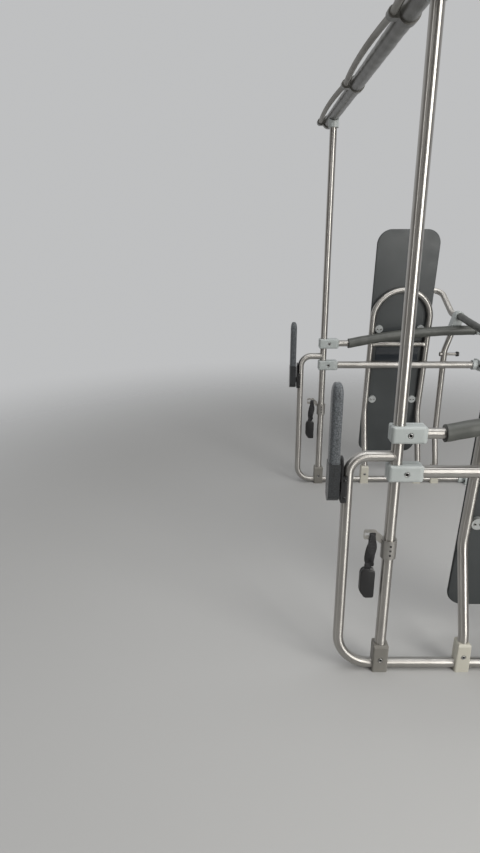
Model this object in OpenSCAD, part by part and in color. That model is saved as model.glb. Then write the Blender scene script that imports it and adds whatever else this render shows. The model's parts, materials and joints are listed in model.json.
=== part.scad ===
// Wheelchair bay rails and backrests of a low-floor bus, one side of the aisle.
// X runs from the aisle to the side wall, Y to the rear of the bus and Z up.
// The origin is on the floor, on the axis of the front pole.

/* [Bay] */
// Distance between the front and the rear frame
frame_pitch = 1400; // [1200:10:1800]
// Distance from the pole's axis to the side wall
wall_x = 780; // [750:5:900]
// Height of the overhead rail's axis
overhead_z = 1755; // [1650:5:1900]

/* [Tubes] */
// Diameter of the poles
pole_d = 32; // [30:0.5:34]
// Diameter of the plain rails and of the overhead rail
plain_d = 35; // [32:0.5:36]
// Diameter of the hoops, the padded rails and the posts
tube_d = 30; // [28:0.5:32]
// Outer diameter of the foam grips on the padded rails
grip_d = 47; // [42:1:50]
// Outer diameter of the foam grips on the overhead rail
overhead_grip_d = 50; // [44:1:54]
// Outer diameter of the sleeve on the wall rail
sleeve_d = 34; // [33:0.5:40]
// Gap between a tube and the casting that holds it
fit_gap = 0.2; // [0.1:0.05:0.3]

/* [Aisle hoop] */
// Distance from the front pole's axis to its hoop's upright, towards the aisle
front_reach = 126; // [124:1:150]
// The same distance at the rear pole
rear_reach = 110; // [106:1:150]
// Height of the hoop's top tube
hoop_top_z = 680; // [677:1:690]
// Height of the low tube's axis above the floor
low_z = 19; // [17:1:24]
// Centre line radius of the hoop's upper bend
hoop_top_r = 50; // [40:1:60]
// Centre line radius of the front hoop's lower bend
front_low_r = 100; // [70:1:101]
// Centre line radius of the rear hoop's lower bend
rear_low_r = 70; // [50:1:80]

/* [Cross rails] */
// Height of the padded rail at the pole
upper_rail_z = 744; // [740:1:780]
// Height of the plain rail
lower_rail_z = 636; // [615:1:640]
// Slope at which the padded rail leaves its level stub, in degrees
grip_slope = 12; // [8:0.5:14]
// Centre line radius of the padded rail's short bend
grip_bend_r = 60; // [40:5:100]
// Distance from the pole's axis to the near end of the foam grip
grip_start = 120; // [112:1:140]
// Bare length between the foam grip and the wall socket
grip_bare = 8; // [4:1:30]

/* [Tee clamps] */
// Distance from the pole's axis to the clamp's face towards the aisle
tee_back = 24; // [22:0.5:30]
// Distance from the pole's axis to the clamp's nose
tee_reach = 74; // [66:1:80]
// Height of a tee clamp
tee_h = 47; // [44:1:49]
// Front to back size of a tee clamp
tee_depth = 46; // [44:1:54]
// Distance from the pole's axis to the clamp screw
tee_screw_x = 25; // [24:0.5:27]
// Distance from the pole's axis to a rail's end inside the clamp
rail_start = 35; // [34:0.5:40]

/* [Foot clamps] */
// Width of the pole's foot clamp
foot_w = 46; // [42:1:46]
// Front to back size of every foot clamp
foot_depth = 42; // [40:1:50]
// Height of the pole's foot clamp
foot_h = 92; // [80:1:110]
// Height of the screw in the pole's foot clamp
foot_screw_z = 42; // [38:1:60]
// Width at the bottom of the foot clamps on the thinner tubes
leg_foot_w = 44; // [42:1:50]
// Width at the top of the foot clamps on the thinner tubes
leg_foot_top_w = 38; // [36:1:42]
// Height of the foot clamps on the thinner tubes
leg_foot_h = 96; // [80:1:97]
// Height of the screw in the foot clamps on the thinner tubes
leg_foot_screw_z = 52; // [38:1:70]
// Diameter of the recess for a clamp screw
screw_recess_d = 15; // [12:0.5:17]
// Depth of the recess for a clamp screw
screw_recess = 3; // [2:0.5:3.5]
// Gap between the two shells of a clamp
part_gap = 1.2; // [0.8:0.1:2]

/* [Backrest] */
// Distance from the pole's axis to the middle of the backrest
backrest_x = 385; // [370:1:420]
// Half the distance between the arch's legs
arch_half = 140; // [130:1:145]
// Height of the arch's crown
arch_top_z = 1000; // [950:5:1050]
// Height at which the legs start to lean to the rear
kick_z = 113; // [113:1:130]
// Height of the knee where the legs turn upright
knee_z = 372; // [340:2:420]
// Distance by which the knee lies behind the feet
knee_back = 90; // [86:1:110]
// Recline of the arch and the board, in degrees
recline = 6; // [4:0.5:7]
// Centre line radius of the bends in the legs
leg_bend_r = 90; // [70:5:110]
// Height of the cross tube, along the arch from the knee
cross_up = 362; // [330:1:400]
// Diameter of the cross tube
cross_d = 25; // [22:0.5:28]
// Distance from a leg's axis out to the board's edge
board_overhang = 8; // [4:1:20]
// Height of the board's top, along the arch from the knee
board_up = 908; // [860:4:980]
// Distance from the knee down to the board's lower edge
board_down = 245; // [200:5:270]
// Thickness of the board's rigid panel
panel_t = 12; // [10:1:20]
// Thickness of the board's pad
pad_t = 22; // [16:1:45]
// Distance from the panel's edge to the pad's edge
pad_inset = 4; // [2:1:10]
// Radius of the board's upper corners
board_top_r = 66; // [50:1:80]
// Radius of the board's lower corners
board_low_r = 52; // [40:1:70]
// Height of the lower fixings, along the arch from the knee
low_fixing_up = 62; // [50:1:100]
// Height of the upper fixings, along the arch from the knee
high_fixing_up = 437; // [420:1:460]
// Diameter of a board fixing
fixing_d = 38; // [34:1:40]
// Distance from a leg's axis to the fixing beside it
fixing_in = 36; // [36:0.5:40]

/* [Wall post] */
// Distance from the pole's axis to the wall post
post_x = 618; // [606:1:626]
// Height of the end of the post's lower bend
post_knee_z = 247; // [220:1:320]
// Height of the bend that leans the post to the wall rail
post_lean_z = 700; // [698:1:730]
// Centre line radius of that bend
post_lean_r = 60; // [40:5:65]
// Radius of the casting that joins post and wall rail
head_r = 23; // [20:0.5:26]
// Front to back size of that casting
head_depth = 42; // [38:1:50]
// Length of that casting below the wall rail's axis
head_len = 60; // [50:1:70]
// Wall between the post's end and the wall rail inside the casting
head_web = 3; // [2:0.5:5]
// Gap between that casting and the foam grip in front of it
post_gap = 2; // [1:0.5:6]
// Height of the stay through the post
stay_z = 682; // [672:1:683]
// Diameter of the stay
stay_d = 14; // [12:0.5:16]
// Diameter of the stay's head and buffer
stay_head_d = 22; // [20:0.5:26]
// Length of the stay past the post's axis, towards the wall
stay_reach = 74; // [60:1:80]

/* [Wall rail] */
// Distance from the pole's axis to the wall rail
wall_rail_x = 670; // [660:1:690]
// Height of the wall rail at the frames
wall_rail_z = 873; // [866:1:900]
// Slope at which the wall rail dips between the frames, in degrees
dip_slope = 7; // [5:0.5:8]
// Centre line radius of the short bends at the ends of the dip
dip_bend_r = 200; // [150:10:250]
// Gap between a casting and the sleeve on the wall rail
sleeve_gap = 1; // [0.5:0.5:10]
// Length of rail in front of the front post
rail_stub = 32; // [28:1:60]
// Distance from the rear post to the start of the rail's rise
rail_run_out = 70; // [50:1:100]
// Slope of the rail's rise behind the rear frame, in degrees
rise_slope = 27; // [20:1:32]
// Centre line radius of the bend into the rise
rise_r = 100; // [80:5:150]
// Length of the straight part of the rise
rise_len = 145; // [100:5:200]
// Centre line radius of the rail's last bend, towards the aisle
turn_r = 55; // [45:1:70]
// Length of the rail's last straight
spigot_len = 80; // [60:5:100]

/* [Overhead rail] */
// Distance from the front frame to the first collar behind it
first_collar_y = 232; // [200:2:300]
// Distance from the rear frame to the last collar
last_collar_y = 156; // [120:2:300]
// Length of a collar
collar_len = 26; // [20:1:34]
// Diameter of a collar
collar_d = 58; // [52:1:62]
// Diameter of the bowed grab bars
bar_d = 19; // [16:1:20]
// Distance from the rail's axis to a grab bar's end
bar_off = 40; // [38:0.5:44]
// Distance by which a grab bar bows out
bar_bow = 12; // [8:1:35]
// Wall of the collar's lug round a grab bar's end
lug_wall = 5; // [4:0.5:8]
// Length of bare rail past the end collars
rail_spigot = 45; // [30:5:60]
// Diameter of the saddle under the rail at each pole
saddle_d = 46; // [40:1:50]
// Height of the saddle below the foam grip
saddle_h = 26; // [20:1:40]

/* [Fold-down arm] */
// Height of the front arm's pivot
front_pivot_z = 593; // [580:1:595]
// Height of the rear arm's pivot
rear_pivot_z = 561; // [540:1:595]
// Width of the arm
arm_w = 30; // [26:1:40]
// Front to back size of the upright arm
arm_depth = 46; // [42:1:60]
// Height of the arm's top above its pivot
arm_up = 287; // [250:1:320]
// Height of the pad's lower edge above the pivot
pad_up = 70; // [50:1:90]
// Height of the knuckle's lower end below the pivot
arm_down = 39; // [30:1:44]
// Gap between the arm and its bracket
arm_gap = 5; // [5:0.5:7]
// Diameter of the pivot pin
pin_d = 14; // [12:0.5:16]
// Gap round the pivot pin, on the radius
pin_gap = 0.05; // [0.02:0.01:0.09]
// Length of pin inside the arm
pin_in = 22; // [16:1:24]
// Wall of the bracket round the hoop's upright
bracket_wall = 5; // [4:0.5:10]
// Distance from the pivot down to the bracket's lower end
bracket_down = 40; // [30:1:44]
// Height of the bracket's block
bracket_h = 74; // [60:1:74]
// Height of the bracket's side plate
bracket_plate_h = 126; // [100:1:140]
// Thickness of the bracket's side plate
bracket_plate_t = 4; // [2:0.5:4]

/* [Belt] */
// Height of the belt collar's middle
belt_z = 407; // [390:1:440]
// Height of the belt collar
belt_collar_h = 56; // [48:1:64]
// Diameter of the belt collar
belt_collar_d = 43; // [40:1:50]
// Width of the webbing
web_w = 28; // [24:1:30]
// Thickness of one layer of webbing
web_t = 3; // [2.6:0.2:3.6]
// Thickness of the anchor plate
anchor_t = 3; // [2.5:0.5:4]
// Distance from the pole's axis to the middle of the webbing
web_x = 54; // [52:1:58]
// Length of webbing from the anchor's slot to the buckle
web_len = 96; // [80:1:120]
// Width of the buckle
buckle_w = 37; // [34:1:42]
// Height of the buckle
buckle_h = 95; // [80:1:110]
// Thickness of the buckle
buckle_t = 20; // [16:1:24]

/* [Wall sockets] */
// Width of a wall socket's flange, front to back
flange_w = 92; // [86:1:110]
// Height of a wall socket's flange
flange_h = 52; // [50:1:56]
// Thickness of a wall socket's flange
flange_t = 8; // [6:1:12]
// Distance between the two screw holes of a flange
flange_pitch = 68; // [66:1:74]
// Diameter of a flange's screw hole
flange_hole_d = 8.5; // [6:0.5:9]
// Length of a wall socket
socket_len = 34; // [28:1:44]
// Wall thickness of a socket's barrel
socket_wall = 7; // [5:0.5:7.5]

/* [Hidden] */
$fn = 48;

// Each frame: place along the bus, the hoop's reach, its lower bend's radius, height of the arm's pivot
front = [0, front_reach, front_low_r, front_pivot_z];
rear = [frame_pitch, rear_reach, rear_low_r, rear_pivot_z];
front_y = front[0];
rear_y = rear[0];
pole_r = pole_d / 2;
plain_r = plain_d / 2;
tube_r = tube_d / 2;
grip_r = grip_d / 2;
overhead_grip_r = overhead_grip_d / 2;
upright_foot = low_z + tube_r + fit_gap;
socket_x = wall_x - flange_t;
seam_t = 0.03;
seam_len = 1.2;
seam_gap = 0.1;

steel = "gainsboro";
casting = "lightsteelblue";
foam = "dimgray";
black = "#202224";
board_grey = "#4a4f52";

// The padded rail: a short bend up, then one long bend that ends level in its wall socket
grip_end_straight = socket_len - flange_t + grip_bare;
grip_arc_r = (socket_x - grip_start - grip_end_straight) / sin(grip_slope) - grip_bend_r;
grip_rise = (grip_bend_r + grip_arc_r) * (1 - cos(grip_slope));
grip_end_z = upper_rail_z + grip_rise;

// The arch: its legs run up from the low tube, lean to the knee, then recline to the crown
kick_slope = atan2(knee_back, knee_z - kick_z);
kick_run = norm([knee_back, knee_z - kick_z]);
kick_tangent = leg_bend_r * tan(kick_slope / 2);
knee_tangent = leg_bend_r * tan((kick_slope + recline) / 2);
crown_up = (arch_top_z - knee_z) / cos(recline);
board_gap = fit_gap;
board_face = tube_r + board_gap;

// The post: a shallow double bend takes it behind the cross rails, and its top leans to the wall rail
post_back = grip_r + head_depth / 2 + post_gap;
post_slope = atan2(post_back, post_knee_z - kick_z);
post_run = norm([post_back, post_knee_z - kick_z]);
post_tangent = leg_bend_r * tan(post_slope / 2);
post_lean = atan2(wall_rail_x - post_x, wall_rail_z - post_lean_z);
post_lean_run = norm([wall_rail_x - post_x, wall_rail_z - post_lean_z]);
post_lean_tangent = post_lean_r * tan(post_lean / 2);
post_end_drop = tube_r + fit_gap + head_web;

// The wall rail: its sleeve runs from casting to casting
dip_start = head_depth / 2 + sleeve_gap;
dip_len = frame_pitch - 2 * dip_start;
dip_arc_r = dip_len / (2 * sin(dip_slope)) - dip_bend_r;

// The overhead rail: two equal grips between the collars, and one more in front
collar_pitch = (rear_y + last_collar_y - first_collar_y) / 2;
collar_ys = [for (i = [-1:2]) first_collar_y + i * collar_pitch];
bar_chord = collar_pitch - collar_len;
bar_arc_r = (pow(bar_chord / 2, 2) + pow(bar_bow, 2)) / (2 * bar_bow);
bar_slope = asin(bar_chord / 2 / bar_arc_r);

// The fold-down arm hangs on the aisle side of the hoop's upright
function bracket_face(frame) = -frame[1] - tube_r - bracket_wall;
function arm_face(frame) = bracket_face(frame) - arm_gap;

// The belt's anchor plate
anchor_z = belt_z + belt_collar_h / 2 + 5;
slot_h = web_t + 6;

// Rectangle from a lower corner, with the radii of its corners in turn from the lower left
module round_rect(at, size, radii) {
    inwards = [[1, 1], [-1, 1], [-1, -1], [1, -1]];
    corners = [at, at + [size[0], 0], at + size, at + [0, size[1]]];
    spots = [for (i = [0:3]) corners[i] + radii[i] * inwards[i]];
    difference() {
        translate(at) square(size);
        for (i = [0:3])
            if (radii[i] > 0)
                translate([min(corners[i][0], spots[i][0]), min(corners[i][1], spots[i][1])])
                    square(radii[i]);
    }
    for (i = [0:3])
        if (radii[i] > 0) translate(spots[i]) circle(radii[i]);
}

// Extrudes an outline drawn in X and Z along Y
module slab_y(y_low, y_high) {
    translate([0, y_high, 0]) rotate([90, 0, 0]) linear_extrude(y_high - y_low) children();
}

// Extrudes an outline drawn in Y and Z along X
module slab_x(x_low, x_high) {
    translate([x_low, 0, 0]) rotate([90, 0, 90]) linear_extrude(x_high - x_low) children();
}

module ring(d, bore) {
    difference() {
        circle(d = d);
        if (bore > 0) circle(d = bore);
    }
}

// Thin band over the joint between a straight and a bend
module seam(d, bore) {
    translate([0, 0, -seam_len / 2]) linear_extrude(seam_len)
        ring(d + 2 * seam_t, bore > 0 ? bore - 2 * seam_t : 0);
}

// Tube that starts at the origin along +Z. Each row of the bend table is
// [straight length, turn of the bend plane, bend angle, centre line radius].
module bent_tube(d, table, bore = 0, i = 0) {
    if (i < len(table)) {
        straight = table[i][0];
        angle = table[i][2];
        r = table[i][3];
        lead = i > 0 && straight > 0 ? seam_gap : 0;
        skip = i > 0 || straight > 0 ? asin(seam_gap / max(r, 1)) : 0;
        if (i > 0) seam(d, bore);
        if (straight > 0) translate([0, 0, lead]) linear_extrude(straight - lead) ring(d, bore);
        translate([0, 0, straight]) rotate([0, 0, table[i][1]]) {
            if (straight > 0 && angle > 0) seam(d, bore);
            if (angle > 0) translate([r, 0, 0]) rotate([90, 0, 180]) rotate([0, 0, skip])
                rotate_extrude(angle = angle - skip, $fn = max(96, 8 * ceil(sqrt(r))))
                    translate([r, 0]) ring(d, bore);
            translate([r * (1 - cos(angle)), 0, r * sin(angle)]) rotate([0, angle, 0])
                bent_tube(d, table, bore, i + 1);
        }
    }
}

module along_x() {
    rotate([0, 90, 0]) children();
}

module along_y() {
    rotate([-90, 0, 0]) children();
}

module pole(y) {
    color(steel) difference() {
        translate([0, y, upright_foot]) cylinder(d = pole_d, h = overhead_z - upright_foot);
        translate([0, y - pole_d, overhead_z]) along_y() cylinder(r = plain_r + fit_gap, h = 2 * pole_d);
    }
}

// The hoop leaves the pole, turns down at the aisle and runs along the floor to the wall
module hoop(frame) {
    reach = frame[1];
    low_r = frame[2];
    table = [[reach - hoop_top_r, 180, 90, hoop_top_r],
             [hoop_top_z - low_z - hoop_top_r - low_r, 0, 90, low_r],
             [reach - low_r + socket_x, 0, 0, 0]];
    color(steel) translate([0, frame[0], hoop_top_z]) difference() {
        rotate([0, -90, 0]) bent_tube(tube_d, table);
        translate([0, 0, -tube_d]) cylinder(r = pole_r + fit_gap, h = 2 * tube_d);
    }
}

// Two cast shells round the pole, with a nose that grips the end of a cross rail
module tee_clamp(z, rail_d) {
    len = tee_back + tee_reach;
    half = tee_depth / 2;
    low = -tee_h / 2;
    translate([0, 0, z]) difference() {
        intersection() {
            slab_y(-half, half) round_rect([-tee_back, low], [len, tee_h], [8, 14, 14, 8]);
            translate([0, 0, low]) linear_extrude(tee_h)
                round_rect([-tee_back, -half], [len, tee_depth], [10, 16, 16, 10]);
            slab_x(-tee_back, tee_reach) round_rect([-half, low], [tee_depth, tee_h], [7, 7, 7, 7]);
        }
        translate([0, 0, -tee_h]) cylinder(r = pole_r + fit_gap, h = 2 * tee_h);
        translate([rail_start - 1, 0, 0]) along_x() cylinder(d = rail_d + 2 * fit_gap, h = tee_reach);
        translate([tee_screw_x, -tee_depth, 0]) along_y()
            cylinder(d = screw_recess_d, h = half + screw_recess);
        translate([-2 * tee_back, -part_gap / 2, -tee_h]) cube([2 * len, part_gap, 2 * tee_h]);
    }
}

module tee_clamps(y) {
    color(casting) translate([0, y, 0]) {
        tee_clamp(upper_rail_z, tube_d);
        tee_clamp(lower_rail_z, plain_d);
    }
}

// Outline with its upper corners cut off, from its widths at the bottom and the top
module cut_top(low_w, top_w, h, cut) {
    polygon([[-low_w / 2, 0], [low_w / 2, 0], [top_w / 2, h - cut[1]], [top_w / 2 - cut[0], h],
             [cut[0] - top_w / 2, h], [-top_w / 2, h - cut[1]]]);
}

// Two cast shells that hold an upright on the low tube and stand on the floor
module foot_clamp(x, w, top_w, h, leg_d, screw_z) {
    half = foot_depth / 2;
    lap_y = 4;
    translate([x, 0, 0]) difference() {
        intersection() {
            slab_y(-half, half) cut_top(w, top_w, h, [3, 5]);
            slab_x(-w, w) cut_top(foot_depth, foot_depth, h, [4, 8]);
            linear_extrude(h) round_rect([-w / 2, -half], [w, foot_depth], [6, 6, 12, 12]);
        }
        translate([0, 0, low_z]) cylinder(d = leg_d + 2 * fit_gap, h = h);
        translate([-w, 0, low_z]) along_x() cylinder(r = tube_r + fit_gap, h = 2 * w);
        translate([0, -2 * half, screw_z]) along_y() cylinder(d = screw_recess_d, h = half + screw_recess);
        translate([-w, lap_y, -1]) cube([2 * w, part_gap, 2 * h]);
    }
}

module foot_clamps(y) {
    color(casting) translate([0, y, 0]) {
        foot_clamp(0, foot_w, foot_w, foot_h, pole_d, foot_screw_z);
        for (x = [backrest_x - arch_half, backrest_x + arch_half, post_x])
            foot_clamp(x, leg_foot_w, leg_foot_top_w, leg_foot_h, tube_d, leg_foot_screw_z);
    }
}

module grip_rail(y) {
    color(steel) translate([rail_start, y, upper_rail_z]) along_x()
        bent_tube(tube_d, [[grip_start - rail_start, 180, grip_slope, grip_bend_r],
                           [0, 180, grip_slope, grip_arc_r],
                           [grip_end_straight, 0, 0, 0]]);
}

module grip(y) {
    color(foam) translate([grip_start, y, upper_rail_z]) along_x()
        bent_tube(grip_d, [[0, 180, grip_slope, grip_bend_r], [0, 180, grip_slope, grip_arc_r]],
                  tube_d + 2 * fit_gap);
}

module plain_rail(y) {
    color(steel) translate([rail_start, y, lower_rail_z]) along_x()
        cylinder(d = plain_d, h = socket_x - rail_start);
}

// Cast socket with a flange on the wall. The lowest one is cut off flat where it meets the floor.
module wall_socket(z, rail_d) {
    barrel_d = rail_d + 2 * socket_wall;
    translate([0, 0, z]) difference() {
        union() {
            slab_x(socket_x, wall_x)
                round_rect([-flange_w / 2, -flange_h / 2], [flange_w, flange_h], [14, 14, 14, 14]);
            translate([wall_x - socket_len, 0, 0]) along_x() cylinder(d = barrel_d, h = socket_len - 1);
        }
        along_x() cylinder(d = rail_d + 2 * fit_gap, h = socket_x);
        for (side = [-1, 1])
            translate([socket_x - socket_len, side * flange_pitch / 2, 0]) along_x()
                cylinder(d = flange_hole_d, h = 2 * socket_len);
        translate([wall_x - 2 * socket_len, -flange_w, -z - flange_h])
            cube([4 * socket_len, 2 * flange_w, flange_h]);
    }
}

module wall_sockets(y) {
    color(casting) translate([0, y, 0]) {
        wall_socket(low_z, tube_d);
        wall_socket(lower_rail_z, plain_d);
        wall_socket(grip_end_z, tube_d);
    }
}

module wall_post(y) {
    table = [[kick_z - upright_foot - post_tangent, 90, post_slope, leg_bend_r],
             [post_run - 2 * post_tangent, 180, post_slope, leg_bend_r],
             [post_lean_z - post_knee_z - post_tangent - post_lean_tangent, 90, post_lean, post_lean_r],
             [post_lean_run - post_lean_tangent - post_end_drop, 0, 0, 0]];
    color(steel) difference() {
        translate([post_x, y, upright_foot]) bent_tube(tube_d, table);
        translate([post_x - tube_d, y + post_back, stay_z]) along_x()
            cylinder(r = stay_d / 2 + fit_gap, h = 2 * tube_d);
    }
}

// Casting on the post's leaning top, with an eye round the wall rail
module post_head(y) {
    color(casting) translate([wall_rail_x, y + post_back, wall_rail_z]) rotate([0, post_lean, 0])
        difference() {
            slab_y(-head_depth / 2, head_depth / 2) {
                circle(head_r);
                translate([-head_r, -head_len]) square([2 * head_r, head_len]);
            }
            translate([0, 0, -2 * head_len])
                cylinder(r = tube_r + fit_gap, h = 2 * head_len - post_end_drop + fit_gap);
            translate([0, -head_depth, 0]) along_y() cylinder(r = tube_r + fit_gap, h = 2 * head_depth);
        }
}

// Rod through the post with a flat head towards the aisle and a buffer towards the wall
module post_stay(y) {
    head_t = 7;
    buffer_t = 12;
    color(steel) translate([post_x, y + post_back, stay_z]) difference() {
        union() {
            translate([-tube_r - head_t, 0, 0]) along_x()
                cylinder(d = stay_head_d, h = head_t + tube_r / 2);
            translate([-tube_r, 0, 0]) along_x() cylinder(d = stay_d, h = tube_r + stay_reach);
            translate([stay_reach - buffer_t, 0, 0]) along_x() cylinder(d = stay_head_d, h = buffer_t);
        }
        difference() {
            translate([0, 0, -tube_d]) cylinder(r = tube_r + fit_gap, h = 2 * tube_d);
            translate([-tube_d, 0, 0]) along_x() cylinder(d = stay_d, h = 2 * tube_d);
        }
    }
}

// Places the backrest's parts at the knee, on the reclined plane of the arch
module at_knee(y) {
    translate([backrest_x, y + knee_back, knee_z]) rotate([recline, 0, 0]) children();
}

module arch(y) {
    foot_run = kick_z - upright_foot - kick_tangent;
    lean_run = kick_run - kick_tangent - knee_tangent;
    side_run = crown_up - knee_tangent - arch_half;
    table = [[foot_run, 90, kick_slope, leg_bend_r],
             [lean_run, 180, kick_slope + recline, leg_bend_r],
             [side_run, 90, 180, arch_half],
             [side_run, -90, kick_slope + recline, leg_bend_r],
             [lean_run, 180, kick_slope, leg_bend_r],
             [foot_run, 0, 0, 0]];
    color(steel) {
        translate([backrest_x - arch_half, y, upright_foot]) bent_tube(tube_d, table);
        at_knee(y) translate([-arch_half, 0, cross_up]) along_x() cylinder(d = cross_d, h = 2 * arch_half);
    }
}

// The board's outline, moved in from its edge
module board_outline(inset) {
    half = arch_half + board_overhang - inset;
    low_r = board_low_r - inset;
    top_r = board_top_r - inset;
    round_rect([-half, -board_down + inset],
               [2 * half, board_down + board_up - 2 * inset], [low_r, low_r, top_r, top_r]);
}

module panel(y) {
    color(board_grey) at_knee(y) slab_y(board_face, board_face + panel_t) board_outline(0);
}

module pad(y) {
    back = board_face + panel_t;
    color(board_grey) at_knee(y) slab_y(back, back + pad_t) board_outline(pad_inset);
}

// Round bosses on the panel, each welded to its leg by a short tab
module fixings(y) {
    boss_t = 13;
    tab_h = 16;
    tab_t = 8;
    color(steel) at_knee(y) for (side = [-1, 1], up = [low_fixing_up, high_fixing_up])
        difference() {
            union() {
                translate([side * (arch_half - fixing_in), board_face - boss_t, up]) along_y()
                    cylinder(d = fixing_d, h = boss_t);
                translate([side > 0 ? arch_half - fixing_in : -arch_half, board_face - boss_t + 2,
                           up - tab_h / 2]) cube([fixing_in, tab_t, tab_h]);
            }
            translate([side * arch_half, 0, up - fixing_d]) cylinder(r = tube_r + fit_gap, h = 2 * fixing_d);
        }
}

// Split collar on the pole, with the plate that the webbing hangs on
module belt_collar(y) {
    hole_d = 6;
    head = [36, 30];
    head_at = [-web_x - head[0] / 2, anchor_z - 7];
    neck_lap = 4;
    neck_root = [-6, 20];
    color(steel) translate([0, y, 0]) {
        difference() {
            translate([0, 0, belt_z - belt_collar_h / 2]) cylinder(d = belt_collar_d, h = belt_collar_h);
            translate([0, 0, belt_z - belt_collar_h]) cylinder(r = pole_r + fit_gap, h = 2 * belt_collar_h);
            for (i = [-1:1])
                translate([0, -belt_collar_d, belt_z + i * belt_collar_h / 4]) along_y()
                    cylinder(d = hole_d, h = belt_collar_d / 2 + 3);
        }
        difference() {
            slab_y(-anchor_t / 2, anchor_t / 2) difference() {
                union() {
                    round_rect(head_at, head, [6, 6, 6, 6]);
                    polygon([head_at + [head[0] - neck_lap, 1], [0, belt_z + neck_root[0]],
                             [0, belt_z + neck_root[1]], head_at + [head[0] - neck_lap, head[1] - 1]]);
                }
                round_rect([-web_x - web_w / 2 - 2, anchor_z + 5], [web_w + 4, slot_h], [3, 3, 3, 3]);
            }
            translate([0, 0, belt_z - belt_collar_h])
                cylinder(r = belt_collar_d / 2 - 1, h = 3 * belt_collar_h);
        }
    }
}

// Webbing folded over the anchor plate, sewn to itself below it
module belt_web(y) {
    inner = anchor_t / 2 + 0.3;
    outer = inner + web_t;
    top = anchor_z + 5 + slot_h - 1.5;
    sewn = anchor_z - 9;
    color(black) translate([-web_x - web_w / 2, y, 0]) {
        difference() {
            translate([0, -outer, sewn]) cube([web_w, 2 * outer, top - sewn]);
            translate([-1, -inner, anchor_z - 8]) cube([web_w + 2, 2 * inner, 15]);
        }
        translate([0, -web_t, anchor_z - web_len]) cube([web_w, 2 * web_t, web_len - 9]);
    }
}

module buckle(y) {
    top = anchor_z - web_len;
    color(black) translate([-web_x, y, top - buckle_h]) intersection() {
        slab_y(-buckle_t / 2, buckle_t / 2)
            round_rect([-buckle_w / 2, 0], [buckle_w, buckle_h], [12, 8, 12, 12]);
        slab_x(-buckle_w, buckle_w)
            round_rect([-buckle_t / 2, 0], [buckle_t, buckle_h], [6, 6, 6, 6]);
    }
}

// Saddle on the aisle side of the hoop's upright, with a plate above it, a boss and the arm's pin
module arm_bracket(frame) {
    face = bracket_face(frame);
    past = 2;
    boss_wall = 6;
    depth = tube_d + 2 * bracket_wall;
    color(black) translate([0, frame[0], frame[3]]) {
        difference() {
            union() {
                translate([0, 0, -bracket_down]) linear_extrude(bracket_h)
                    round_rect([face, -depth / 2], [-frame[1] - past - face, depth], [2, 6, 6, 2]);
                slab_x(face, face + bracket_plate_t)
                    round_rect([-depth / 2, -bracket_down], [depth, bracket_plate_h], [2, 2, 14, 14]);
            }
            translate([-frame[1], 0, -bracket_down - 1])
                cylinder(r = tube_r + fit_gap, h = bracket_plate_h + 2);
        }
        translate([face - arm_gap - pin_in, 0, 0]) along_x() cylinder(d = pin_d, h = pin_in + arm_gap);
        translate([face - arm_gap + fit_gap, 0, 0]) along_x()
            cylinder(d = pin_d + 2 * boss_wall, h = arm_gap - fit_gap);
    }
}

// Outline of the arm from the side, between two heights above its pivot
module arm_side(low, high, low_r, high_r) {
    round_rect([-arm_depth / 2, low], [arm_depth, high - low], [low_r, low_r, high_r, high_r]);
}

module arm_knuckle(frame) {
    color(black) translate([arm_face(frame), frame[0], frame[3]]) difference() {
        slab_x(-arm_w, 0) arm_side(-arm_down, pad_up, arm_depth / 2 - 1, 0);
        translate([-pin_in - 0.5, 0, 0]) along_x() cylinder(r = pin_d / 2 + pin_gap, h = pin_in + 1);
    }
}

module arm_pad(frame) {
    top_r = 20;
    color(foam) translate([arm_face(frame), frame[0], frame[3]]) intersection() {
        slab_x(-arm_w, 0) arm_side(pad_up, arm_up, 0, top_r);
        slab_y(-arm_depth, arm_depth)
            round_rect([-arm_w, pad_up], [arm_w, arm_up - pad_up], [0, 0, 12, 12]);
        linear_extrude(arm_up) round_rect([-arm_w, -arm_depth / 2], [arm_w, arm_depth], [9, 9, 9, 9]);
    }
}

module overhead_rail() {
    start = collar_ys[0] - collar_len / 2 - rail_spigot;
    end = collar_ys[3] + collar_len / 2 + rail_spigot;
    color(steel) translate([0, start, overhead_z]) along_y() cylinder(d = plain_d, h = end - start);
}

module overhead_grips() {
    color(foam) difference() {
        for (i = [0:2])
            translate([0, collar_ys[i] + collar_len / 2 + fit_gap, overhead_z]) along_y()
                linear_extrude(collar_pitch - collar_len - 2 * fit_gap)
                    ring(overhead_grip_d, plain_d + 2 * fit_gap);
        for (y = [front_y, rear_y])
            translate([0, y, overhead_z - overhead_grip_d])
                cylinder(r = pole_r + 2 * fit_gap, h = overhead_grip_d);
    }
}

// Collars between the grips, each with a lug that carries the ends of the grab bars
module overhead_collars() {
    lug_d = bar_d + 2 * lug_wall;
    color(casting) for (y = collar_ys)
        translate([0, y - collar_len / 2, overhead_z]) along_y() difference() {
            linear_extrude(collar_len) {
                circle(d = collar_d);
                translate([-bar_off, 0]) circle(d = lug_d);
                translate([-bar_off, -lug_d / 2]) square([bar_off, lug_d]);
            }
            translate([0, 0, -1]) cylinder(r = plain_r + fit_gap, h = collar_len + 2);
        }
}

module overhead_bars() {
    color(steel) for (i = [0:2])
        translate([-bar_off, collar_ys[i] + collar_len / 2, overhead_z]) intersection() {
            along_y() rotate([0, -bar_slope, 0]) bent_tube(bar_d, [[0, 0, 2 * bar_slope, bar_arc_r]]);
            translate([-2 * bar_off, fit_gap, -bar_d]) cube([4 * bar_off, bar_chord - 2 * fit_gap, 2 * bar_d]);
        }
}

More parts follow.
